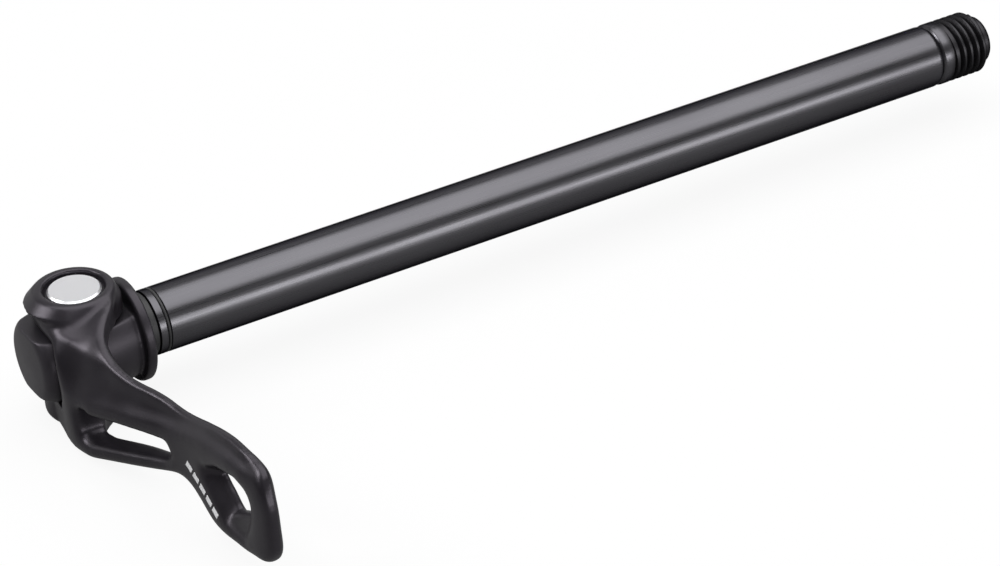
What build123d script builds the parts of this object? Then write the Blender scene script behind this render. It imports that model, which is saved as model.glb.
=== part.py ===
from build123d import *
import os
from math import hypot, sqrt

# Bicycle thru axle with a quick-release cam lever, drawn closed, in millimetres.
# X runs along the axle: zero is the clamping face of the flange, plus X is the thread end.
# Z is the axis of the lever's pivot, and the closed lever points along minus Y.
# A cam on the pivot passes through the eye of a stem that is fixed in the axle, so turning
# the lever moves the housing along the axle.

# Axle tube
shaft_diameter = 11.9
thread_diameter = 12.0
axle_reach = 180.0
axle_bore = 6.0
nose_diameter = 9.4
nose_length = 2.2
nose_round = 1.1
thread_length = 7.2
thread_band = 2.0
thread_neck_depth = 0.45
thread_neck_width = 0.8
spigot_diameter = 10.0
spigot_depth = 3.0
collar_length = 1.4
edge_break = 0.2

# Rubber rings on the axle
seal_width = 1.8
seal_height = 0.65
ring_section = 0.6
ring_side_gap = 0.05
ring_sink = 0.03

# Stem with the eye for the cam, and the pin that locks it in the tube
stem_grip = 22.0
stem_thickness = 5.2
eye_clearance = 0.2
eye_wall = 1.5
stem_pin_diameter = 2.0
stem_pin_inset = 0.15

# Cam housing with its flange
flange_diameter = 18.8
flange_thickness = 2.0
flange_round = 0.6
pivot_offset = 10.3
barrel_diameter = 18.4
barrel_end_diameter = 14.6
barrel_neck_diameter = 15.8
barrel_end_reach = 10.3
barrel_end_dome_radius = 60.0
barrel_end_round = 2.4
flat_half_height = 5.9
slide_clearance = 0.1
spigot_clearance = 0.05
seal_seat_depth = 0.6
seal_seat_clearance = 0.25
end_clearance = 0.4

# Cam shaft and its flanged bushings
cam_throw = 0.6
cam_diameter = 6.0
upper_journal_diameter = 7.4
lower_journal_diameter = 4.6
drive_flats = 6.2
journal_clearance = 0.03
bushing_wall = 1.0
bushing_rim_diameter = 12.0
bushing_rim_thickness = 0.5
ear_clearance = 0.2
cam_head_diameter = 9.5
cam_head_thickness = 1.2
cam_head_sink = 0.4
cam_head_chamfer = 0.3

# Screw that holds the lower ear
screw_diameter = 3.0
screw_grip = 5.0
screw_head_diameter = 5.6
screw_head_height = 1.4
screw_key = 2.0
screw_key_depth = 0.9
screw_sink = 0.3
lock_washer_diameter = 6.4
lock_washer_thickness = 0.5

# Lever
lever_reach = 68.2
rail_overrun = 1.8
head_top = 12.0
head_bottom = 12.4
head_rim_radius = 7.0
ear_radius = 7.9
lip_clearance = 0.2
lip_radius = 8.5
lip_shift = 0.9
lower_ear_radius = 7.6
cap_recess_diameter = 11.0
screw_recess_diameter = 8.4
fork_clearance = 0.3
fork_crown = 1.7
head_edge_round = 1.3
tip_upper_round = 8.5
tip_lower_round = 5.0
tip_half_height = 9.3
window_round = 1.2
pocket_mouth = -1.0
pocket_floor = 1.8
hole_depth = 4.6

# Guide curves of the lever's arm, from the pivot: distance along the arm, then x and z.
# They run past the tip by rail_overrun, and their distances stretch with the lever's reach.
crest_rail = ((0.5, 6.7, 11.0), (4, 5.9, 11.6), (8, 3.9, 11.8), (12.5, 0.5, 11.5), (17, -1.4, 10.5),
              (23, -1.5, 8.9), (30, 0.6, 7.2), (38, 2.0, 7.2), (46, 2.5, 8.9), (55, 3.0, 10.0), (62, 3.3, 9.6),
              (70, 3.4, 8.4))
crease_rail = ((0.5, -7.5, 9.7), (4.5, -7.4, 9.3), (8, -6.6, 8.6), (13, -4.8, 7.5), (20, -3.9, 6.4),
               (30, -1.3, 5.3), (38, 0.5, 5.9), (46, 1.2, 7.9), (55, 1.6, 9.1), (62, 2.0, 8.7),
               (70, 2.2, 7.6))
shoulder_rail = ((0.5, -7.9, 7.3), (4, -8.0, 7.2), (6.5, -8.15, 6.7), (8.5, -8.7, 5.4), (10.5, -9.0, 2.4),
                 (13.5, -8.3, -1.0), (18, -6.9, -0.9), (24, -5.0, 0.2), (31, -2.6, 1.2), (38, -0.7, 2.4),
                 (46, 0.2, 4.5), (55, 0.5, 5.9), (62, 0.8, 5.9), (70, 1.2, 5.1))
outer_rail = ((0.5, -6.8, -12.4), (8, -7.8, -12.4), (13, -8.1, -12.3), (18, -6.9, -11.1), (26, -4.4, -8.9),
              (34, -1.6, -6.7), (39, -0.4, -5.6), (43, 0.2, -7.0), (48, 0.4, -9.8), (56, 0.6, -9.8),
              (63, 0.9, -9.2), (70, 1.2, -8.6))
inner_rail = ((0.5, 6.4, -12.4), (8, 1.0, -12.4), (13, -3.0, -12.3), (18, -2.2, -11.1), (26, 0.3, -8.9),
              (34, 1.6, -6.7), (39, 2.5, -5.6), (43, 3.4, -7.0), (48, 4.2, -9.8), (56, 4.4, -9.8),
              (63, 4.2, -9.2), (70, 3.7, -8.6))
crest_round = 1.0
crease_round = 2.0
shoulder_round = 1.4
lower_edge_round = 1.0
inner_edge_round = 0.8

# Openings of the lever, from the pivot along the arm and up
window_outline = ((13.5, -2.7), (24, -0.9), (35.8, 0.5), (36.7, -1.7), (35.0, -4.0), (15.0, -9.0),
                  (13.5, -8.0))
lip_outline = ((45.6, 0.8), (45.2, -1.3), (53.0, -8.3), (60.2, -8.3), (62.8, -2.5), (63.6, 1.8), (61.9, 4.5),
               (57.0, 4.9), (50.5, 3.5))
pocket_outline = ((47.0, 0.4), (46.8, -1.2), (53.3, -7.5), (59.6, -7.6), (62.0, -2.3), (62.4, 1.4),
                  (60.9, 3.2), (57.6, 3.8), (51.0, 2.5))
throat_outline = ((47.0, 0.4), (46.8, -1.2), (52.8, -6.9), (61.4, -1.9), (62.2, 1.3), (60.8, 3.1),
                  (57.6, 3.7), (51.0, 2.4))
hole_outline = ((50.4, 0.6), (50.2, -1.0), (53.4, -5.8), (61.0, -1.9), (61.8, 1.3), (60.4, 3.0), (57.4, 3.5),
                (51.6, 2.2))

# Sizes that follow
shaft_radius = shaft_diameter / 2
bore_radius = axle_bore / 2
spigot_radius = spigot_diameter / 2
cam_radius = cam_diameter / 2
pivot_x = -pivot_offset
flange_back = -flange_thickness
housing_end = pivot_x - barrel_end_reach
eye_radius = cam_radius + eye_clearance
eye_outer = eye_radius + eye_wall
eye_x = pivot_x - cam_throw
stem_half = stem_thickness / 2
slot_half = stem_half + slide_clearance
ear_inner = flat_half_height + bushing_rim_thickness + ear_clearance
collar_start = seal_width + 2 * ring_side_gap + end_clearance
collar_end = collar_start + collar_length
ring_groove_end = collar_end + ring_section + 2 * ring_side_gap
thread_start = axle_reach - nose_length - thread_length
neck_end = thread_start - thread_band
lip_height = flange_diameter / 2 + lip_clearance
cap_floor = head_top - cam_head_sink - cam_head_thickness
screw_seat = -head_bottom + screw_sink + screw_head_height + lock_washer_thickness
corner_centre = (barrel_end_reach - barrel_end_round, barrel_end_diameter / 2 - barrel_end_round)
fork_radius = hypot(*corner_centre) + barrel_end_round + fork_clearance
fork_edge_radius = fork_radius - fork_crown
pivot_plane = Plane(origin=(pivot_x, 0, 0))
front_plane = Plane(origin=(pivot_x, 0, 0), x_dir=(0, -1, 0), z_dir=(-1, 0, 0))
arm_stretch = lever_reach / (crest_rail[-1][0] - rail_overrun)
cut_reach = 4 * pivot_offset


def at_height(z):
    """Return the plane across the pivot axis at a height."""
    return pivot_plane.offset(z)


def end_drop(radius):
    """Return how far the domed end of the housing falls back at a radius."""
    return barrel_end_dome_radius - sqrt(barrel_end_dome_radius ** 2 - radius ** 2)


def place(distance, x, z):
    """Return a point of the lever's arm in the part's frame."""
    return (pivot_x + x, -distance * arm_stretch, z)


def stretched(outline):
    """Return an opening's outline with its distances along the arm stretched to the lever's reach."""
    return [(distance * arm_stretch, z) for distance, z in outline]


# Axle tube, turned from bar, with a plain band where the thread is cut
with BuildPart() as axle_tube:
    with BuildSketch(Plane.XY) as tube_profile:
        with BuildLine():
            Polyline(
                (-spigot_depth, bore_radius),
                (-spigot_depth, spigot_radius),
                (collar_start, spigot_radius),
                (collar_start, shaft_radius),
                (collar_end, shaft_radius),
                (collar_end, shaft_radius - ring_section - ring_sink),
                (ring_groove_end, shaft_radius - ring_section - ring_sink),
                (ring_groove_end, shaft_radius),
                (neck_end - thread_neck_width, shaft_radius),
                (neck_end - thread_neck_width / 2, shaft_radius - thread_neck_depth),
                (neck_end, thread_diameter / 2),
                (axle_reach - nose_length, thread_diameter / 2),
                (axle_reach - nose_length + edge_break, nose_diameter / 2),
                (axle_reach, nose_diameter / 2),
                (axle_reach, bore_radius),
                close=True,
            )
        make_face()
        nose_corners = tube_profile.vertices().group_by(Axis.X)[-1].sort_by(Axis.Y)
        fillet(nose_corners[-1], nose_round)
    revolve(axis=Axis.X)
    chamfer(axle_tube.edges().group_by(Axis.X)[0].sort_by(SortBy.RADIUS)[-1], edge_break)
    with Locations((-spigot_depth / 2, 0, 0)):
        Cylinder(stem_pin_diameter / 2, shaft_diameter, mode=Mode.SUBTRACT)
axle_tube.part.label = "axle_tube"

# Square rubber seal on the spigot, between the flange and the collar
with BuildPart() as seal_ring:
    with BuildSketch(Plane.XY) as seal_profile:
        with Locations((collar_start - ring_side_gap, spigot_radius)):
            Rectangle(seal_width, seal_height, align=(Align.MAX, Align.MIN))
        chamfer(seal_profile.vertices().group_by(Axis.Y)[-1], seal_height / 3)
    revolve(axis=Axis.X)
seal_ring.part.label = "seal_ring"

# Small round rubber ring in the groove behind the collar
with BuildPart() as o_ring:
    with BuildSketch(Plane.XY):
        with Locations(((collar_end + ring_groove_end) / 2, shaft_radius - ring_section / 2)):
            Circle(ring_section / 2)
    revolve(axis=Axis.X)
o_ring.part.label = "o_ring"

# Stem: a round shank in the tube, and a flat bar with the eye that the cam pulls on
with BuildPart() as stem:
    with BuildSketch(Plane.XY):
        with Locations((eye_x, cam_throw / 2)):
            SlotCenterToCenter(cam_throw, 2 * eye_outer, rotation=90)
        with Locations((-spigot_depth, cam_throw / 2)):
            Rectangle(-spigot_depth - eye_x, 2 * eye_outer + cam_throw, align=(Align.MAX, Align.CENTER))
    extrude(amount=stem_half, both=True)
    with BuildSketch(Plane.XY):
        with Locations((eye_x, cam_throw / 2)):
            SlotCenterToCenter(cam_throw, 2 * eye_radius, rotation=90)
    extrude(amount=stem_thickness, both=True, mode=Mode.SUBTRACT)
    with BuildSketch(Plane.YZ.offset(-spigot_depth)):
        Circle(bore_radius)
    extrude(amount=spigot_depth + stem_grip)
    chamfer(stem.edges().group_by(Axis.X)[-1], edge_break)
    with Locations((-spigot_depth / 2, 0, 0)):
        Cylinder(stem_pin_diameter / 2, shaft_diameter, mode=Mode.SUBTRACT)
stem.part.label = "stem"

# Pin through the spigot and the shank
with BuildPart() as stem_pin:
    with Locations((-spigot_depth / 2, 0, 0)):
        Cylinder(stem_pin_diameter / 2, spigot_diameter - 2 * stem_pin_inset)
    chamfer(stem_pin.edges().filter_by(GeomType.CIRCLE), edge_break)
stem_pin.part.label = "stem_pin"

# Cam housing: a barrel with two flats for the lever's ears, and the flange that clamps
with BuildPart() as cam_housing:
    with BuildSketch(Plane.XY) as housing_profile:
        with BuildLine():
            barrel_end, end_middle = ((housing_end + end_drop(radius), radius)
                                      for radius in (barrel_end_diameter / 2, barrel_end_diameter / 4))
            barrel_neck = (flange_back, barrel_neck_diameter / 2)
            Line((housing_end, 0), (0, 0))
            Polyline((0, 0), (0, flange_diameter / 2), (flange_back, flange_diameter / 2), barrel_neck)
            ThreePointArc(barrel_neck, (pivot_x, barrel_diameter / 2), barrel_end)
            ThreePointArc(barrel_end, end_middle, (housing_end, 0))
        make_face()
        rim = housing_profile.vertices().group_by(Axis.Y)[-1]
        fillet(rim, flange_round)
        fillet(housing_profile.vertices().sort_by_distance((*barrel_end, 0))[0], barrel_end_round)
    revolve(axis=Axis.X)
    flat_length = pivot_offset + 2 * barrel_end_reach
    for side in (1, -1):
        with Locations((flange_back, 0, side * flat_half_height)):
            Box(flat_length, barrel_diameter, barrel_diameter,
                align=(Align.MAX, Align.CENTER, Align.MIN if side > 0 else Align.MAX), mode=Mode.SUBTRACT)
    with BuildSketch(Plane.YZ):
        with Locations((cam_throw / 2, 0)):
            Rectangle(2 * eye_outer + cam_throw + 2 * slide_clearance, 2 * slot_half)
    extrude(amount=eye_x - eye_outer - end_clearance, mode=Mode.SUBTRACT)
    with BuildSketch(Plane.YZ):
        Circle(spigot_radius + spigot_clearance)
    extrude(amount=-spigot_depth - end_clearance, mode=Mode.SUBTRACT)
    with BuildSketch(Plane.YZ):
        Circle(shaft_radius + seal_seat_clearance)
    extrude(amount=-seal_seat_depth, mode=Mode.SUBTRACT)
    for start, end, journal in ((slot_half, flat_half_height, upper_journal_diameter),
                                (-flat_half_height, -slot_half, lower_journal_diameter)):
        with BuildSketch(at_height(start)):
            Circle(journal / 2 + journal_clearance + bushing_wall)
        extrude(amount=end - start, mode=Mode.SUBTRACT)
cam_housing.part.label = "cam_housing"


def bushing(side, journal):
    """Build a flanged bushing in the housing, above its slot for side 1 and below it for side -1."""
    inner = journal / 2 + journal_clearance
    with BuildPart() as sleeve:
        with BuildSketch(at_height(side * slot_half)):
            Circle(inner + bushing_wall)
        extrude(amount=side * (flat_half_height - slot_half))
        with BuildSketch(at_height(side * flat_half_height)):
            Circle(bushing_rim_diameter / 2)
        extrude(amount=side * bushing_rim_thickness)
        with BuildSketch(at_height(side * slot_half)):
            Circle(inner)
        extrude(amount=side * cut_reach, mode=Mode.SUBTRACT)
    return sleeve


upper_bushing = bushing(1, upper_journal_diameter)
upper_bushing.part.label = "upper_bushing"
lower_bushing = bushing(-1, lower_journal_diameter)
lower_bushing.part.label = "lower_bushing"

# Cam shaft: bright head, upper journal with drive flats, cam, and lower journal
with BuildPart() as cam_shaft:
    with BuildSketch(at_height(cap_floor)):
        Circle(cam_head_diameter / 2)
    extrude(amount=cam_head_thickness)
    chamfer(cam_shaft.edges().group_by(Axis.Z)[-1], cam_head_chamfer)
    with BuildSketch(at_height(ear_inner)):
        Circle(upper_journal_diameter / 2)
        Rectangle(upper_journal_diameter, drive_flats, mode=Mode.INTERSECT)
    extrude(amount=cap_floor - ear_inner)
    with BuildSketch(at_height(stem_half)):
        Circle(upper_journal_diameter / 2)
    extrude(amount=ear_inner - stem_half)
    with BuildSketch(at_height(-stem_half)):
        with Locations((-cam_throw, 0)):
            Circle(cam_radius)
    extrude(amount=stem_thickness)
    with BuildSketch(at_height(screw_seat)):
        Circle(lower_journal_diameter / 2)
    extrude(amount=-stem_half - screw_seat)
    with BuildSketch(at_height(screw_seat)):
        Circle(screw_diameter / 2)
    extrude(amount=screw_grip, mode=Mode.SUBTRACT)
cam_shaft.part.label = "cam_shaft"

# Arm of the lever: five guide curves with ruled sides between them, rounded along each curve
with BuildPart() as arm:
    rails = [Spline(*(place(*point) for point in rail)) for rail in
             (crest_rail, crease_rail, shoulder_rail, outer_rail, inner_rail)]
    sides = [Face.make_surface_from_curves(Edge(one.wrapped), Edge(other.wrapped))
             for one, other in zip(rails, rails[1:] + rails[:1])]
    ends = [Face(Wire.make_polygon([rail @ end for rail in rails])) for end in (0, 1)]
    add(Solid(Shell(sides + ends)))
    crest, crease, shoulder, outer, inner = rails
    for rail, radius in ((crease, crease_round), (shoulder, shoulder_round), (crest, crest_round),
                         (outer, lower_edge_round), (inner, inner_edge_round)):
        fillet(arm.edges().sort_by_distance(rail @ 0.5)[0], radius)
    with BuildSketch(front_plane.offset(-cut_reach)):
        with Locations((lever_reach - tip_upper_round, 0)):
            Rectangle(cut_reach, cut_reach, align=(Align.MIN, Align.CENTER))
        with BuildSketch(mode=Mode.SUBTRACT) as tip_outline:
            Rectangle(2 * lever_reach, 2 * tip_half_height)
            fillet(tip_outline.vertices().group_by(Axis.X)[-1].sort_by(Axis.Y)[-1], tip_upper_round)
            fillet(tip_outline.vertices().group_by(Axis.X)[-1].sort_by(Axis.Y)[0], tip_lower_round)
    extrude(amount=2 * cut_reach, mode=Mode.SUBTRACT)

# Lever: a forked head on the pivot, with the arm that widens to an open paddle
with BuildPart() as lever:
    with BuildSketch(at_height(ear_inner)):
        Circle(ear_radius)
    extrude(amount=lip_height - ear_inner + edge_break)
    with BuildSketch(at_height(lip_height)):
        with Locations((-lip_shift, 0)):
            Circle(lip_radius)
    with BuildSketch(at_height(head_top)):
        Circle(head_rim_radius)
    loft()
    fillet(lever.edges().group_by(Axis.Z)[-1], head_edge_round)
    with BuildSketch(at_height(-ear_inner)):
        Circle(lower_ear_radius)
    extrude(amount=ear_inner - head_bottom)
    fillet(lever.edges().group_by(Axis.Z)[0], head_edge_round)
    add(arm.part)
    # Room for the flange when the lever is open
    with Locations((pivot_x - ear_radius - lip_clearance, 0, 0)):
        Cylinder(flange_diameter / 2 + lip_clearance / 2, cut_reach, rotation=(0, 90, 0),
                 align=(Align.CENTER, Align.CENTER, Align.MAX), mode=Mode.SUBTRACT)
    # Fork slot, pivot holes and the recesses for the cam's head and the screw
    with BuildSketch(Plane(origin=(pivot_x, 0, 0), x_dir=(1, 0, 0), z_dir=(0, -1, 0))):
        with BuildLine():
            upper, lower = (fork_edge_radius, ear_inner), (fork_edge_radius, -ear_inner)
            Polyline(lower, (0, -ear_inner), (0, ear_inner), upper)
            ThreePointArc(upper, (fork_radius, 0), lower)
        make_face()
    revolve(axis=Axis((pivot_x, 0, 0), (0, 0, 1)), mode=Mode.SUBTRACT)
    with BuildSketch(at_height(cap_floor)):
        Circle(cap_recess_diameter / 2)
    extrude(amount=cut_reach, mode=Mode.SUBTRACT)
    with BuildSketch(at_height(0)):
        Circle(upper_journal_diameter / 2)
        Rectangle(upper_journal_diameter, drive_flats, mode=Mode.INTERSECT)
    extrude(amount=cut_reach, mode=Mode.SUBTRACT)
    with BuildSketch(at_height(0)):
        Circle(lower_journal_diameter / 2)
    extrude(amount=-cut_reach, mode=Mode.SUBTRACT)
    with BuildSketch(at_height(screw_seat)):
        Circle(screw_recess_diameter / 2)
    extrude(amount=-cut_reach, mode=Mode.SUBTRACT)
    # Long window in the arm
    with BuildSketch(front_plane.offset(-cut_reach)) as window:
        with BuildLine():
            Polyline(*stretched(window_outline), close=True)
        make_face()
        fillet(window.vertices(), window_round)
    extrude(amount=2 * cut_reach, mode=Mode.SUBTRACT)
    # Pocket in the paddle and the hole in its floor, both with walls that slope in
    for openings in (((lip_outline, pocket_mouth), (pocket_outline, pocket_floor)),
                     ((throat_outline, pocket_floor - edge_break), (hole_outline, hole_depth))):
        for outline, depth in openings:
            with BuildSketch(front_plane.offset(-depth)):
                with BuildLine():
                    Polyline(*stretched(outline), close=True)
                make_face()
        loft(ruled=True, mode=Mode.SUBTRACT)
lever.part.label = "lever"

# Lock washer under the screw
with BuildPart() as lock_washer:
    with BuildSketch(at_height(screw_seat)):
        Circle(lock_washer_diameter / 2)
        Circle(screw_diameter / 2, mode=Mode.SUBTRACT)
    extrude(amount=-lock_washer_thickness)
lock_washer.part.label = "lock_washer"

# Screw in the end of the cam shaft
with BuildPart() as cam_screw:
    with BuildSketch(at_height(screw_seat - lock_washer_thickness)):
        Circle(screw_head_diameter / 2)
    extrude(amount=-screw_head_height)
    chamfer(cam_screw.edges().group_by(Axis.Z)[0], edge_break)
    with BuildSketch(at_height(screw_seat - lock_washer_thickness)):
        Circle(screw_diameter / 2)
    extrude(amount=lock_washer_thickness + screw_grip - end_clearance)
    with BuildSketch(at_height(screw_seat - lock_washer_thickness - screw_head_height)):
        RegularPolygon(screw_key / 2, 6, major_radius=False)
    extrude(amount=screw_key_depth, mode=Mode.SUBTRACT)
cam_screw.part.label = "cam_screw"

pieces = (axle_tube, seal_ring, o_ring, stem, stem_pin, cam_housing, upper_bushing, lower_bushing,
          cam_shaft, lever, lock_washer, cam_screw)
os.makedirs("parts", exist_ok=True)
for piece in pieces:
    export_step(piece.part, f"parts/{piece.part.label}.step")
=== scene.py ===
import bpy
import math
from mathutils import Matrix, Vector


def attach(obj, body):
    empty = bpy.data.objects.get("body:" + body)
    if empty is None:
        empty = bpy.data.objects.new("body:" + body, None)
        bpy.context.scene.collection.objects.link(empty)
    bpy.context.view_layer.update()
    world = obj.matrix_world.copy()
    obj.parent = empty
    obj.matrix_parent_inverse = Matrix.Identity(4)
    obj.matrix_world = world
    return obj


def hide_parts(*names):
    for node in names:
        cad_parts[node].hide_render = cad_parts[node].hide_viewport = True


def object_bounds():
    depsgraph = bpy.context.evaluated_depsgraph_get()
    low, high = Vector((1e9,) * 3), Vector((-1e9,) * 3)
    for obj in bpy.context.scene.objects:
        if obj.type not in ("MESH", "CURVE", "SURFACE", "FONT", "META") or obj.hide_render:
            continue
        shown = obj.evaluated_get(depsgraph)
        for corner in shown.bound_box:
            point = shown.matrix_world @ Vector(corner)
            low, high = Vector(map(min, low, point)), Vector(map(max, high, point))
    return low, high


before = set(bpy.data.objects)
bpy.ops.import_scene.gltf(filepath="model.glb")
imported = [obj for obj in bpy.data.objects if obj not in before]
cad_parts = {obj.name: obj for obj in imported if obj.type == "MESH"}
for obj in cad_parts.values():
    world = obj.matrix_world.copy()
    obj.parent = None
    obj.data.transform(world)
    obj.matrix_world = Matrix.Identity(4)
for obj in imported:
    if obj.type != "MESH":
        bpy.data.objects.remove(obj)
cad_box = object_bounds()
mm = 0.001

# Sizes are in millimetres, but in metres for the camera, the lamps and the floor

# Place of the lever's pivot along the axle
pivot_x = -10.3

# Outline of the axle: the place of each corner along the axle, and its radius
axle_outline = (
    (-3, 3), (-3, 5), (2.3, 5), (2.3, 5.95), (3.7, 5.95), (3.7, 5.32), (4.4, 5.32), (4.4, 5.95),
    (167.7, 5.95), (168.15, 5.4), (168.6, 6.0), (177.8, 6.0), (178.0, 4.7), (180, 4.7), (180, 3))
# Roundings of the outline: a radius, and the corners that get it
axle_roundings = (
    (0.18, ((2.3, 5.95), (3.7, 5.95), (4.4, 5.95), (-3, 5), (-3, 3), (180, 3))),
    (0.7, ((167.7, 5.95),)),
    (0.35, ((168.6, 6.0), (177.8, 6.0))),
    (1.1, ((180, 4.7),)))
rounding_steps = 5
axle_facets = 144
axle_sharp_angle = math.radians(28)

# Thread, and the groove that cuts it
thread_first = 170.3
thread_pitch = 1.5
thread_turns = 5
thread_steps = 72
thread_radius = 6.0
thread_root = 5.1
thread_fade_steps = 30
groove_half_mouth = 0.66
groove_half_root = 0.12
groove_overrun = 0.15
fade_overrun = 0.1

# Guide lines of the lever: distance along the arm from the pivot, and height
crest_line = ((3, 11.6), (12, 11.5), (17, 10.5), (23, 8.9), (30, 7.2), (38, 7.2), (46, 8.9),
              (55, 10.0), (62, 9.6), (70, 8.4))
ridge_line = ((13, -1.0), (18, -0.9), (24, 0.2), (31, 1.2), (38, 2.4), (46, 4.5), (55, 5.9),
              (62, 5.9), (70, 5.1))

# Cove in the lever's outer flank
cove_start = 15.0
cove_end = 66.0
cove_run_in = 6
cove_run_out = 8
cove_depth = 0.9
cove_steps = 6
cove_above_ridge = 0.2
cove_below_crest = 1.4
flank_normal_x = -0.2

# Stock that the lever gets before it is rubbed down, and the reach over which it fades out
arm_stock_start = 17
arm_stock_end = 64
arm_stock = 0.45
arm_stock_fade = 4.0
crest_stock_starts = (20, 23, 26, 29, 32)
crest_stock_depth = 2.6
crest_stock = (0.08, 0, 0.13)
tip_stock_start = 62.5
tip_stock_x = pivot_x + 3
tip_stock = (0.35, 0, 0)
stock_fade = 4.5

# Band of the arm that is set lower. Each sloping edge is a distance, the height there and a slope
window_start = 17
window_end = 37
window_low_edge = (15, -9.6, 0.25)
window_high_edge = (14, -2.2, 0.13)
window_shift = (0, 0, -0.5)
window_fade = 1.8

# Rubbing down: where the rounds begin, and how many passes each has
lever_grain = 0.25
lever_passes = 5
arm_rub_starts = (8.5, 10, 11.5)
arm_passes = 6
arm_last_passes = 3
crest_drops = (3.6, 3.0, 2.4, 1.8, 1.2, 0.6)
crest_rub_start = 3
crest_head_radius = 7.2
crest_passes = 4
corner_insets = (0, 0.6, 1.2)
column_y = (-17.5, -10.5)
column_z = (-10.5, -0.5)
column_x = -15.5
column_passes = 14
bell_foot_y = (-9, 3)
bell_foot_z = (2.5, 10)
bell_foot_x = -15
bell_foot_passes = 9
tip_rub_starts = (60.5, 61.5, 62.5, 63.5, 64.5, 65.5)
tip_passes = 8
housing_grain = 0.24
housing_passes = 3
rub_factor = 0.5

# White bars on the paddle
mark_count = 5
mark_pitch = 2.3
mark_length = 1.75
mark_height = 1.3
mark_start = Vector((pivot_x - 0.3, -42.5, -1.7))
mark_direction = Vector((0, -7.66, -5.0)).normalized()
mark_lift = 0.03
mark_thickness = 0.08

# Points closer than this are one: in a CAD node's mesh and in a spun outline, in metres
node_merge_distance = 2e-6
spin_merge_distance = 1e-6
# A point is at a place within this distance, and on a direction above this cosine
near_enough = 0.01
same_direction = 0.9999

# The part of a noise's range that carries its pattern
noise_low = 0.3
noise_high = 0.7

# Camera, placed and turned as the photograph was taken, with its lens and sensor in millimetres
camera_place = Vector((-0.2253, -0.5571, 0.3656))
camera_right = Vector((0.86325, -0.50139, -0.05828))
camera_up = Vector((0.30363, 0.42356, 0.85346))
camera_lens = 144.87
camera_sensor = 36.0
camera_clip_end = 10

# Lamps: name, place, the point they face, width, height and power in watts
softboxes = (
    ("top_box", (0.32, -0.03, 0.62), (0.32, 0, 0), 1.3, 0.85, 9.6),
    ("front_box", (0.4, -0.62, 0.05), (0.4, 0, 0), 1.3, 0.2, 4.6),
    ("back_box", (0.35, 0.65, 0.36), (0.1, 0, 0), 1.1, 0.45, 0.9),
    ("left_box", (-0.33, 0.6, 0.15), (-0.02, -0.03, 0), 0.5, 0.4, 0.35),
    ("over_box", (-0.44, 0.2, 0.37), (-0.012, -0.015, 0), 0.26, 0.24, 1.9))
world_strength = 0.12

# Floor: its grey, what the camera sees on top of that, and the share of white for each kind of ray
floor_size = 6
floor_gap = 0.0002
floor_grey = 0.22
floor_grey_for_camera = 0.4
floor_white_shares = (("Is Camera Ray", 0.9), ("Is Glossy Ray", 0.1), ("Is Transmission Ray", 0.1))


# Modelling by hand

def leave_edit():
    """Go back to object mode with nothing selected."""
    if bpy.context.object and bpy.context.object.mode != "OBJECT":
        bpy.ops.object.mode_set(mode="OBJECT")
    bpy.ops.object.select_all(action="DESELECT")


def take(piece):
    """Select one piece alone and make it active."""
    leave_edit()
    piece.select_set(True)
    bpy.context.view_layer.objects.active = piece


def copy_of_node(node, name):
    """Copy a CAD node's mesh into a new piece, with its doubled points merged."""
    take(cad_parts[node])
    bpy.ops.object.duplicate()
    piece = bpy.context.object
    piece.name = piece.data.name = name
    bpy.ops.object.mode_set(mode="EDIT")
    bpy.ops.mesh.select_all(action="SELECT")
    bpy.ops.mesh.remove_doubles(threshold=node_merge_distance)
    bpy.ops.object.mode_set(mode="OBJECT")
    return piece


def clear_points(piece):
    """Take a piece with none of its points selected."""
    take(piece)
    bpy.ops.object.mode_set(mode="EDIT")
    bpy.ops.mesh.select_mode(type="VERT")
    bpy.ops.mesh.select_all(action="DESELECT")
    bpy.ops.object.mode_set(mode="OBJECT")


def pick_points(piece, chosen):
    """Go into edit mode with the points selected whose place, in millimetres, is chosen."""
    clear_points(piece)
    for point in piece.data.vertices:
        point.select = chosen(point.co / mm)
    bpy.ops.object.mode_set(mode="EDIT")


def everywhere(p):
    """Choose every point."""
    return True


def push_points(piece, chosen, push, fade):
    """Push the chosen points by some millimetres, and those around them less and less."""
    pick_points(piece, chosen)
    bpy.ops.transform.translate(value=[length * mm for length in push], use_proportional_edit=True,
                                proportional_edit_falloff="SMOOTH", proportional_size=fade * mm)
    bpy.ops.object.mode_set(mode="OBJECT")


def soften(piece, chosen, passes):
    """Rub down the chosen part of a piece, so that its edges turn round."""
    pick_points(piece, chosen)
    bpy.ops.mesh.vertices_smooth(factor=rub_factor, repeat=passes)
    bpy.ops.object.mode_set(mode="OBJECT")


def recast(piece, grain):
    """Give a piece an even skin of small square faces."""
    take(piece)
    skin = piece.modifiers.new("even_skin", "REMESH")
    skin.mode = "VOXEL"
    skin.voxel_size = grain * mm
    bpy.ops.object.modifier_apply(modifier=skin.name)


def fit(piece, node, body, material):
    """Give a piece its finish and body, and hide the CAD node that it replaces, if any."""
    leave_edit()
    piece.data.materials.clear()
    piece.data.materials.append(material)
    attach(piece, body)
    if node:
        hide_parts(node)


# Materials

def new_finish(name, colour, metal, rough, specular=0.5):
    """Start a finish with its even values on the shader, which a pattern may then vary."""
    material = bpy.data.materials.new(name)
    material.use_nodes = True
    shader = material.node_tree.nodes["Principled BSDF"]
    shader.inputs["Base Color"].default_value = (*colour, 1)
    shader.inputs["Metallic"].default_value = metal
    shader.inputs["Roughness"].default_value = rough
    shader.inputs["Specular IOR Level"].default_value = specular
    return material, material.node_tree.nodes, material.node_tree.links, shader


def add_node(nodes, kind, **values):
    """Add a shader node, with its input values by name."""
    node = nodes.new(kind)
    for name, value in values.items():
        node.inputs[name.replace("_", " ")].default_value = value
    return node


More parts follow.
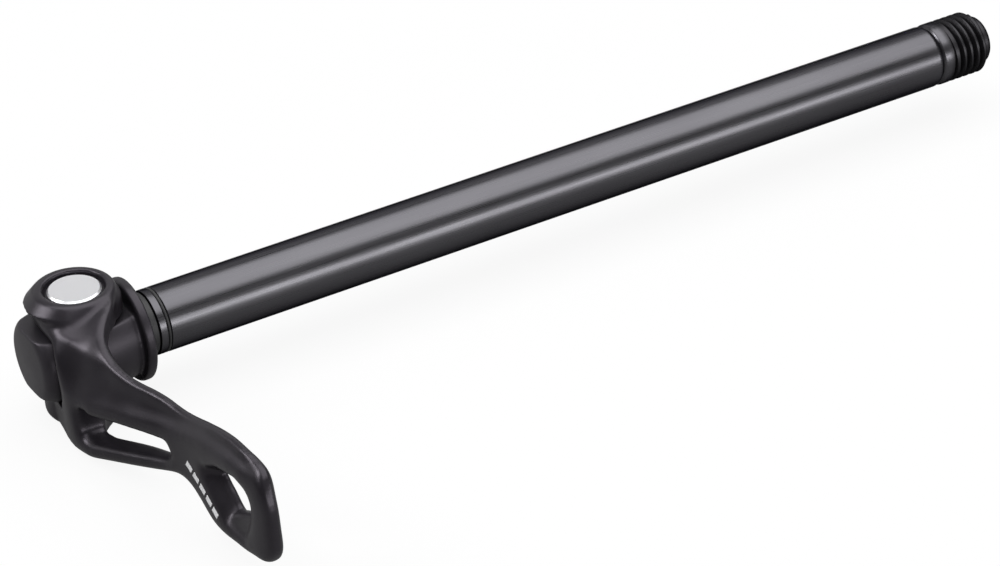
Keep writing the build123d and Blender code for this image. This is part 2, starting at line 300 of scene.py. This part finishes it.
def object_space(nodes, links, scale=(1, 1, 1), shift=(0, 0, 0)):
    """Return object coordinates, stretched by a scale on each axis and shifted."""
    coordinates = nodes.new("ShaderNodeTexCoord")
    mapping = add_node(nodes, "ShaderNodeMapping", Location=shift, Scale=scale)
    links.new(coordinates.outputs["Object"], mapping.inputs["Vector"])
    return mapping.outputs["Vector"]


def add_noise(nodes, links, space, scale, detail):
    """Add a noise on object coordinates and return its value."""
    noise = add_node(nodes, "ShaderNodeTexNoise", Scale=scale, Detail=detail)
    links.new(space, noise.inputs["Vector"])
    return noise.outputs["Fac"]


def spread(nodes, links, value, low, high):
    """Turn a noise into a value between low and high."""
    ramp = add_node(nodes, "ShaderNodeMapRange", From_Min=noise_low, From_Max=noise_high,
                    To_Min=low, To_Max=high)
    links.new(value, ramp.inputs["Value"])
    return ramp.outputs["Result"]


def shade_between(nodes, links, value, dark, light):
    """Turn a noise into a colour between two shades."""
    ramp = nodes.new("ShaderNodeValToRGB")
    ramp.color_ramp.elements[0].position = noise_low
    ramp.color_ramp.elements[0].color = (*dark, 1)
    ramp.color_ramp.elements[1].position = noise_high
    ramp.color_ramp.elements[1].color = (*light, 1)
    links.new(value, ramp.inputs["Fac"])
    return ramp.outputs["Color"]


def multiply_add(nodes, links, value, factor, addend=0.0):
    """Multiply a value, add to it, and return the node, whose last input takes the addend."""
    node = nodes.new("ShaderNodeMath")
    node.operation = "MULTIPLY_ADD"
    node.inputs[1].default_value = factor
    node.inputs[2].default_value = addend
    links.new(value, node.inputs[0])
    return node


def raise_grain(nodes, links, shader, value, strength, height):
    """Give a finish a fine relief, of a height in millimetres."""
    bump = add_node(nodes, "ShaderNodeBump", Strength=strength, Distance=height * mm)
    links.new(value, bump.inputs["Height"])
    links.new(bump.outputs["Normal"], shader.inputs["Normal"])


def blasted_black(name, dark, light, rough_low, rough_high):
    """Black coat over a blasted surface: fine grain, and slow changes of shade and gloss."""
    material, nodes, links, shader = new_finish(name, light, 0.0, rough_low, specular=0.4)
    shader.inputs["Specular Tint"].default_value = (0.96, 0.88, 1.0, 1)
    space = object_space(nodes, links)
    slow = add_noise(nodes, links, space, scale=160, detail=3)
    fine = add_noise(nodes, links, space, scale=5200, detail=2)
    links.new(shade_between(nodes, links, slow, dark, light), shader.inputs["Base Color"])
    links.new(spread(nodes, links, slow, rough_low, rough_high), shader.inputs["Roughness"])
    raise_grain(nodes, links, shader, fine, strength=0.12, height=0.04)
    return material


def anodised_grey(name):
    """Dark anodised tube: drawn lines along the axle, and a blacker, duller coat on the thread."""
    tube_dark = (0.088, 0.086, 0.094)
    tube_light = (0.104, 0.102, 0.11)
    thread_shade = (0.04, 0.039, 0.042)
    thread_extra_rough = 0.12
    thread_run_in = 0.9
    material, nodes, links, shader = new_finish(name, (0.1, 0.098, 0.106), 1.0, 0.3)
    shader.inputs["Specular Tint"].default_value = (0.2, 0.2, 0.21, 1)
    split = nodes.new("ShaderNodeSeparateXYZ")
    links.new(object_space(nodes, links), split.inputs["Vector"])
    end = add_node(nodes, "ShaderNodeMapRange", From_Min=(thread_first - thread_run_in) * mm,
                   From_Max=thread_first * mm)
    links.new(split.outputs["X"], end.inputs["Value"])
    lines = add_noise(nodes, links, object_space(nodes, links, (0.012, 1, 1)), scale=5200, detail=2)
    slow = add_noise(nodes, links, object_space(nodes, links, (0.2, 1, 1)), scale=120, detail=3)
    shade = nodes.new("ShaderNodeMix")
    shade.data_type = "RGBA"
    shade.inputs["B"].default_value = (*thread_shade, 1)
    links.new(end.outputs["Result"], shade.inputs["Factor"])
    links.new(shade_between(nodes, links, slow, tube_dark, tube_light), shade.inputs["A"])
    links.new(shade.outputs["Result"], shader.inputs["Base Color"])
    dull = multiply_add(nodes, links, end.outputs["Result"], thread_extra_rough)
    links.new(spread(nodes, links, lines, 0.26, 0.34), dull.inputs[2])
    links.new(dull.outputs[0], shader.inputs["Roughness"])
    raise_grain(nodes, links, shader, lines, strength=0.05, height=0.02)
    return material


def turned_steel(name, colour, rough, centre_x, axis_scale, ring_scale):
    """Steel with fine turned rings about its own axis, on which the scale is nought."""
    material, nodes, links, shader = new_finish(name, colour, 1.0, rough)
    shift = (-centre_x * mm * axis_scale[0], 0, 0)
    reach = nodes.new("ShaderNodeVectorMath")
    reach.operation = "LENGTH"
    links.new(object_space(nodes, links, axis_scale, shift), reach.inputs[0])
    rings = nodes.new("ShaderNodeTexNoise")
    rings.noise_dimensions = "1D"
    rings.inputs["Scale"].default_value = ring_scale
    rings.inputs["Detail"].default_value = 4
    links.new(reach.outputs["Value"], rings.inputs["W"])
    gloss = spread(nodes, links, rings.outputs["Fac"], rough - 0.06, rough + 0.08)
    links.new(gloss, shader.inputs["Roughness"])
    raise_grain(nodes, links, shader, rings.outputs["Fac"], strength=0.06, height=0.02)
    return material


def moulded(name, dark, light, rough, grain_scale):
    """Rubber or plastic with a soft matt grain."""
    material, nodes, links, shader = new_finish(name, dark, 0.0, rough)
    space = object_space(nodes, links)
    mottle = add_noise(nodes, links, space, scale=420, detail=4)
    grain = add_noise(nodes, links, space, scale=grain_scale, detail=3)
    links.new(shade_between(nodes, links, mottle, dark, light), shader.inputs["Base Color"])
    links.new(spread(nodes, links, mottle, rough - 0.06, rough + 0.06), shader.inputs["Roughness"])
    raise_grain(nodes, links, shader, grain, strength=0.2, height=0.05)
    return material


def printed_white(name):
    """White printed marks, slightly worn."""
    material, nodes, links, shader = new_finish(name, (0.8, 0.8, 0.8), 0.0, 0.5)
    worn = add_noise(nodes, links, object_space(nodes, links), scale=2600, detail=4)
    white = shade_between(nodes, links, worn, (0.7, 0.7, 0.72), (0.86, 0.86, 0.87))
    links.new(white, shader.inputs["Base Color"])
    links.new(spread(nodes, links, worn, 0.42, 0.58), shader.inputs["Roughness"])
    return material


lever_black = blasted_black(
    "lever_black", (0.0075, 0.0066, 0.0083), (0.0115, 0.0104, 0.0128), 0.3, 0.37)
housing_black = blasted_black(
    "housing_black", (0.0103, 0.0094, 0.0113), (0.0154, 0.0141, 0.0168), 0.36, 0.46)
tube_grey = anodised_grey("tube_grey")
head_steel = turned_steel("head_steel", (0.86, 0.86, 0.88), 0.34, pivot_x, (1, 1, 0), 9000)
plain_steel = turned_steel("plain_steel", (0.6, 0.6, 0.61), 0.34, 0, (0, 1, 1), 7000)
dark_steel = turned_steel("dark_steel", (0.12, 0.12, 0.125), 0.38, pivot_x, (1, 1, 0), 7000)
ring_rubber = moulded("ring_rubber", (0.009, 0.009, 0.01), (0.016, 0.016, 0.017), 0.55, 3800)
bushing_plastic = moulded("bushing_plastic", (0.06, 0.06, 0.062), (0.09, 0.09, 0.092), 0.5, 2600)
mark_white = printed_white("mark_white")


# Lever, with the soft edges of a forging that was blasted and coated

def height_on(line, distance):
    """Return the height of a guide line at a distance along the arm."""
    for (start, low), (end, high) in zip(line, line[1:]):
        if distance <= end:
            return low + (high - low) * max(0, distance - start) / (end - start)
    return line[-1][1]


def edge_height(edge, p):
    """Return the height of a sloping edge at a point's place along the arm."""
    distance, height, slope = edge
    return height - (p.y + distance) * slope


def in_window_band(p):
    """Tell whether a point is in the band of the arm with the window and the strut."""
    return (-window_end < p.y < -window_start
            and edge_height(window_low_edge, p) < p.z < edge_height(window_high_edge, p))


def near_crest(p, drop):
    """Tell whether a point is less than a drop below the arm's crest."""
    return p.z > height_on(crest_line, -p.y) - drop


def in_column(p, inset):
    """Tell whether a point is on the column at the head end of the window."""
    return (column_y[0] + inset < p.y < column_y[1] - inset
            and column_z[0] + inset < p.z < column_z[1] and p.x < column_x)


def on_bell_foot(p, inset):
    """Tell whether a point is on the foot of the bell, above the column."""
    return (bell_foot_y[0] + inset < p.y < bell_foot_y[1] - inset
            and bell_foot_z[0] + inset < p.z < bell_foot_z[1] - inset and p.x < bell_foot_x)


def carve_cove(lever):
    """Press a shallow cove into the outer flank, between the arm's ridge and its crest."""
    for step in range(cove_steps):
        fade = step / cove_steps
        share = math.sqrt(1 - (step + 0.5) / cove_steps)
        start = cove_start + cove_run_in * fade
        end = cove_end - cove_run_out * fade
        clear_points(lever)
        for point in lever.data.vertices:
            distance = -point.co.y / mm
            if start < distance < end and point.normal.x < flank_normal_x:
                foot = height_on(ridge_line, distance) + cove_above_ridge
                top = height_on(crest_line, distance) - cove_below_crest
                height = point.co.z / mm
                point.select = abs(height - (foot + top) / 2) < share * (top - foot) / 2
        bpy.ops.object.mode_set(mode="EDIT")
        bpy.ops.transform.translate(value=(cove_depth / cove_steps * mm, 0, 0))
        bpy.ops.object.mode_set(mode="OBJECT")


def add_stock(lever):
    """Make the crest higher, and the tip and the arm fuller, before they are rubbed down."""
    for start in crest_stock_starts:
        push_points(lever, lambda p: -arm_stock_end < p.y < -start
                    and near_crest(p, crest_stock_depth), crest_stock, stock_fade)
    push_points(lever, lambda p: p.y < -tip_stock_start and p.x > tip_stock_x,
                tip_stock, stock_fade)
    pick_points(lever, lambda p: -arm_stock_end < p.y < -arm_stock_start)
    bpy.ops.transform.shrink_fatten(value=arm_stock * mm, use_proportional_edit=True,
                                    proportional_edit_falloff="SMOOTH",
                                    proportional_size=arm_stock_fade * mm)
    bpy.ops.object.mode_set(mode="OBJECT")


def rub_arm(lever, passes):
    """Rub down the whole arm, less and less towards the head."""
    for start in arm_rub_starts:
        soften(lever, lambda p: p.y < -start, passes)


def rub_edges(lever):
    """Rub down the crest, the corners at the head end of the window, and the tip."""
    for drop in crest_drops:
        soften(lever, lambda p: p.y < -crest_rub_start and near_crest(p, drop)
               and math.hypot(p.x - pivot_x, p.y) > crest_head_radius, crest_passes)
    for inset in corner_insets:
        soften(lever, lambda p: in_column(p, inset), column_passes)
        soften(lever, lambda p: on_bell_foot(p, inset), bell_foot_passes)
    for start in tip_rub_starts:
        soften(lever, lambda p: p.y < -start, tip_passes)


def make_lever():
    """Make the forged lever from its solid, with its edges rubbed round."""
    lever = copy_of_node("lever", "forged_lever")
    recast(lever, lever_grain)
    soften(lever, everywhere, lever_passes)
    rub_arm(lever, arm_passes)
    carve_cove(lever)
    add_stock(lever)
    push_points(lever, in_window_band, window_shift, window_fade)
    rub_arm(lever, arm_passes)
    rub_edges(lever)
    # The rubbed skin is uneven, so it is made even once more
    recast(lever, lever_grain)
    rub_arm(lever, arm_last_passes)
    take(lever)
    bpy.ops.object.shade_smooth()
    fit(lever, "lever", "lever", lever_black)
    return lever


def print_marks(lever):
    """Lay a row of plain white bars on the outer rim of the paddle."""
    outward = Vector((-1, 0, 0))
    across = outward.cross(mark_direction)
    turn = Matrix((mark_direction, across, outward)).transposed().to_euler()
    bars = []
    for number in range(mark_count):
        leave_edit()
        place = mark_start + mark_direction * mark_pitch * number
        bpy.ops.mesh.primitive_grid_add(x_subdivisions=10, y_subdivisions=6, size=mm,
                                        location=place * mm, rotation=turn)
        bar = bpy.context.object
        bar.scale = (mark_length, mark_height, 1)
        bpy.ops.object.transform_apply(location=True, rotation=True, scale=True)
        lay = bar.modifiers.new("lay_on", "SHRINKWRAP")
        lay.target = lever
        lay.wrap_method = "NEAREST_SURFACEPOINT"
        lay.wrap_mode = "ABOVE_SURFACE"
        lay.offset = mark_lift * mm
        bpy.ops.object.modifier_apply(modifier=lay.name)
        paint = bar.modifiers.new("paint", "SOLIDIFY")
        paint.thickness = mark_thickness * mm
        paint.offset = -1
        bpy.ops.object.modifier_apply(modifier=paint.name)
        bars.append(bar)
    leave_edit()
    for bar in bars:
        bar.select_set(True)
    bpy.context.view_layer.objects.active = bars[0]
    bpy.ops.object.join()
    marks = bpy.context.object
    marks.name = marks.data.name = "printed_marks"
    fit(marks, None, "lever", mark_white)


def make_housing():
    """Make the cam housing from its solid, with its machined edges broken."""
    housing = copy_of_node("cam_housing", "turned_housing")
    recast(housing, housing_grain)
    soften(housing, everywhere, housing_passes)
    take(housing)
    bpy.ops.object.shade_smooth()
    fit(housing, "cam_housing", "clamp", housing_black)


# Axle, turned from bar, with a thread cut in it

def make_outline(name, points):
    """Make a closed line of points, given along the axle and out from it."""
    leave_edit()
    bpy.ops.mesh.primitive_plane_add(size=mm)
    line = bpy.context.object
    line.name = line.data.name = name
    bpy.ops.object.mode_set(mode="EDIT")
    bpy.ops.mesh.select_all(action="SELECT")
    bpy.ops.mesh.merge(type="CENTER")
    bpy.ops.transform.translate(value=(points[0][0] * mm, 0, points[0][1] * mm))
    for one, other in zip(points, points[1:]):
        step = ((other[0] - one[0]) * mm, 0, (other[1] - one[1]) * mm)
        bpy.ops.mesh.extrude_vertices_move(TRANSFORM_OT_translate={"value": step})
    bpy.ops.mesh.select_all(action="SELECT")
    bpy.ops.mesh.edge_face_add()
    bpy.ops.mesh.delete(type="ONLY_FACE")
    bpy.ops.object.mode_set(mode="OBJECT")
    return line


def round_corners(line, radius, corners):
    """Round some corners of an outline."""
    pick_points(line, lambda p: any(abs(p.x - x) < near_enough and abs(p.z - z) < near_enough
                                    for x, z in corners))
    bpy.ops.mesh.bevel(offset=radius * mm, segments=rounding_steps, affect="VERTICES")
    bpy.ops.object.mode_set(mode="OBJECT")


def make_thread_cutter():
    """Make the winding groove of the thread, which fades out at its inner end."""
    mouth = thread_radius + groove_overrun
    cutter = make_outline("thread_cutter", ((thread_first - groove_half_mouth, mouth),
                                            (thread_first - groove_half_root, thread_root),
                                            (thread_first + groove_half_root, thread_root),
                                            (thread_first + groove_half_mouth, mouth)))
    take(cutter)
    wind = cutter.modifiers.new("wind", "SCREW")
    wind.axis = "X"
    wind.screw_offset = thread_pitch * mm
    wind.iterations = thread_turns
    wind.steps = wind.render_steps = thread_steps
    bpy.ops.object.modifier_apply(modifier=wind.name)
    bpy.ops.object.mode_set(mode="EDIT")
    bpy.ops.mesh.select_all(action="SELECT")
    bpy.ops.mesh.fill_holes(sides=4)
    bpy.ops.mesh.select_all(action="SELECT")
    bpy.ops.mesh.normals_make_consistent(inside=False)
    bpy.ops.object.mode_set(mode="OBJECT")
    for step in range(thread_fade_steps):
        angle = math.tau * step / thread_steps
        outward = Vector((0, -math.sin(angle), math.cos(angle)))
        middle = thread_first + thread_pitch * step / thread_steps
        pick_points(cutter, lambda p: abs(p.x - middle) < groove_half_mouth + near_enough
                    and Vector((0, p.y, p.z)).normalized().dot(outward) > same_direction)
        whole_lift = thread_radius + fade_overrun - thread_root
        lift = whole_lift * (1 - step / thread_fade_steps) * mm
        bpy.ops.transform.translate(value=outward * lift)
        bpy.ops.object.mode_set(mode="OBJECT")
    return cutter


def make_axle():
    """Turn the axle, break its edges and cut its thread."""
    axle = make_outline("turned_axle", axle_outline)
    for radius, corners in axle_roundings:
        round_corners(axle, radius, corners)
    take(axle)
    bpy.ops.object.mode_set(mode="EDIT")
    bpy.ops.mesh.select_all(action="SELECT")
    bpy.ops.mesh.spin(steps=axle_facets, angle=math.tau, center=(0, 0, 0), axis=(1, 0, 0))
    bpy.ops.mesh.select_all(action="SELECT")
    bpy.ops.mesh.remove_doubles(threshold=spin_merge_distance)
    bpy.ops.mesh.normals_make_consistent(inside=False)
    bpy.ops.object.mode_set(mode="OBJECT")
    cutter = make_thread_cutter()
    take(axle)
    cut = axle.modifiers.new("thread_cut", "BOOLEAN")
    cut.operation = "DIFFERENCE"
    cut.solver = "EXACT"
    cut.object = cutter
    bpy.ops.object.modifier_apply(modifier=cut.name)
    take(cutter)
    bpy.ops.object.delete()
    take(axle)
    bpy.ops.object.shade_smooth_by_angle(angle=axle_sharp_angle)
    fit(axle, "axle_tube", "axle", tube_grey)


def finish_nodes():
    """Give the CAD nodes that stay in view their finishes."""
    for material, nodes in ((head_steel, ("cam_shaft",)),
                            (plain_steel, ("stem", "stem_pin")),
                            (dark_steel, ("cam_screw", "lock_washer")),
                            (ring_rubber, ("seal_ring", "o_ring")),
                            (bushing_plastic, ("upper_bushing", "lower_bushing"))):
        for node in nodes:
            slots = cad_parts[node].data.materials
            slots.clear()
            slots.append(material)


# Studio

def add_camera():
    """Add the camera at the photograph's viewing angle."""
    data = bpy.data.cameras.new("photo_camera")
    data.lens = camera_lens
    data.sensor_width = camera_sensor
    data.clip_end = camera_clip_end
    camera = bpy.data.objects.new("photo_camera", data)
    bpy.context.scene.collection.objects.link(camera)
    back = camera_right.cross(camera_up)
    turn = Matrix((camera_right, camera_up, back)).transposed().to_4x4()
    camera.matrix_world = Matrix.Translation(camera_place) @ turn
    bpy.context.scene.camera = camera


def add_softbox(name, place, aim, width, height, power):
    """Add a rectangular lamp that faces a point."""
    data = bpy.data.lights.new(name, "AREA")
    data.shape = "RECTANGLE"
    data.size = width
    data.size_y = height
    data.energy = power
    lamp = bpy.data.objects.new(name, data)
    bpy.context.scene.collection.objects.link(lamp)
    lamp.location = place
    lamp.rotation_euler = (Vector(aim) - Vector(place)).to_track_quat("-Z", "Y").to_euler()


def add_floor():
    """Add the pale floor, white to the camera, dimmer in reflections, and taking the shadow."""
    leave_edit()
    floor_height = cad_box[0][2] - floor_gap
    bpy.ops.mesh.primitive_plane_add(size=floor_size, location=(0, 0, floor_height))
    floor = bpy.context.object
    floor.name = "pale_floor"
    material = bpy.data.materials.new("pale_floor")
    material.use_nodes = True
    nodes, links = material.node_tree.nodes, material.node_tree.links
    shader = nodes["Principled BSDF"]
    shader.inputs["Roughness"].default_value = 0.9
    shader.inputs["Specular IOR Level"].default_value = 0.0
    path = nodes.new("ShaderNodeLightPath")
    seen = path.outputs["Is Camera Ray"]
    grey = multiply_add(nodes, links, seen, floor_grey_for_camera, floor_grey)
    links.new(grey.outputs[0], shader.inputs["Base Color"])
    share = None
    for ray, amount in floor_white_shares:
        added = multiply_add(nodes, links, path.outputs[ray], amount)
        if share:
            links.new(share.outputs[0], added.inputs[2])
        share = added
    white = add_node(nodes, "ShaderNodeEmission", Strength=1.0)
    mix = nodes.new("ShaderNodeMixShader")
    links.new(share.outputs[0], mix.inputs["Fac"])
    links.new(shader.outputs[0], mix.inputs[1])
    links.new(white.outputs[0], mix.inputs[2])
    links.new(mix.outputs[0], nodes["Material Output"].inputs["Surface"])
    floor.data.materials.append(material)


def add_world():
    """Add a faint even light from all around."""
    world = bpy.data.worlds.new("studio")
    bpy.context.scene.world = world
    world.use_nodes = True
    background = world.node_tree.nodes["Background"]
    background.inputs["Color"].default_value = (1, 1, 1, 1)
    background.inputs["Strength"].default_value = world_strength


print_marks(make_lever())
make_housing()
make_axle()
finish_nodes()
add_camera()
add_floor()
for softbox in softboxes:
    add_softbox(*softbox)
add_world()

bpy.context.scene.view_settings.view_transform = "Standard"
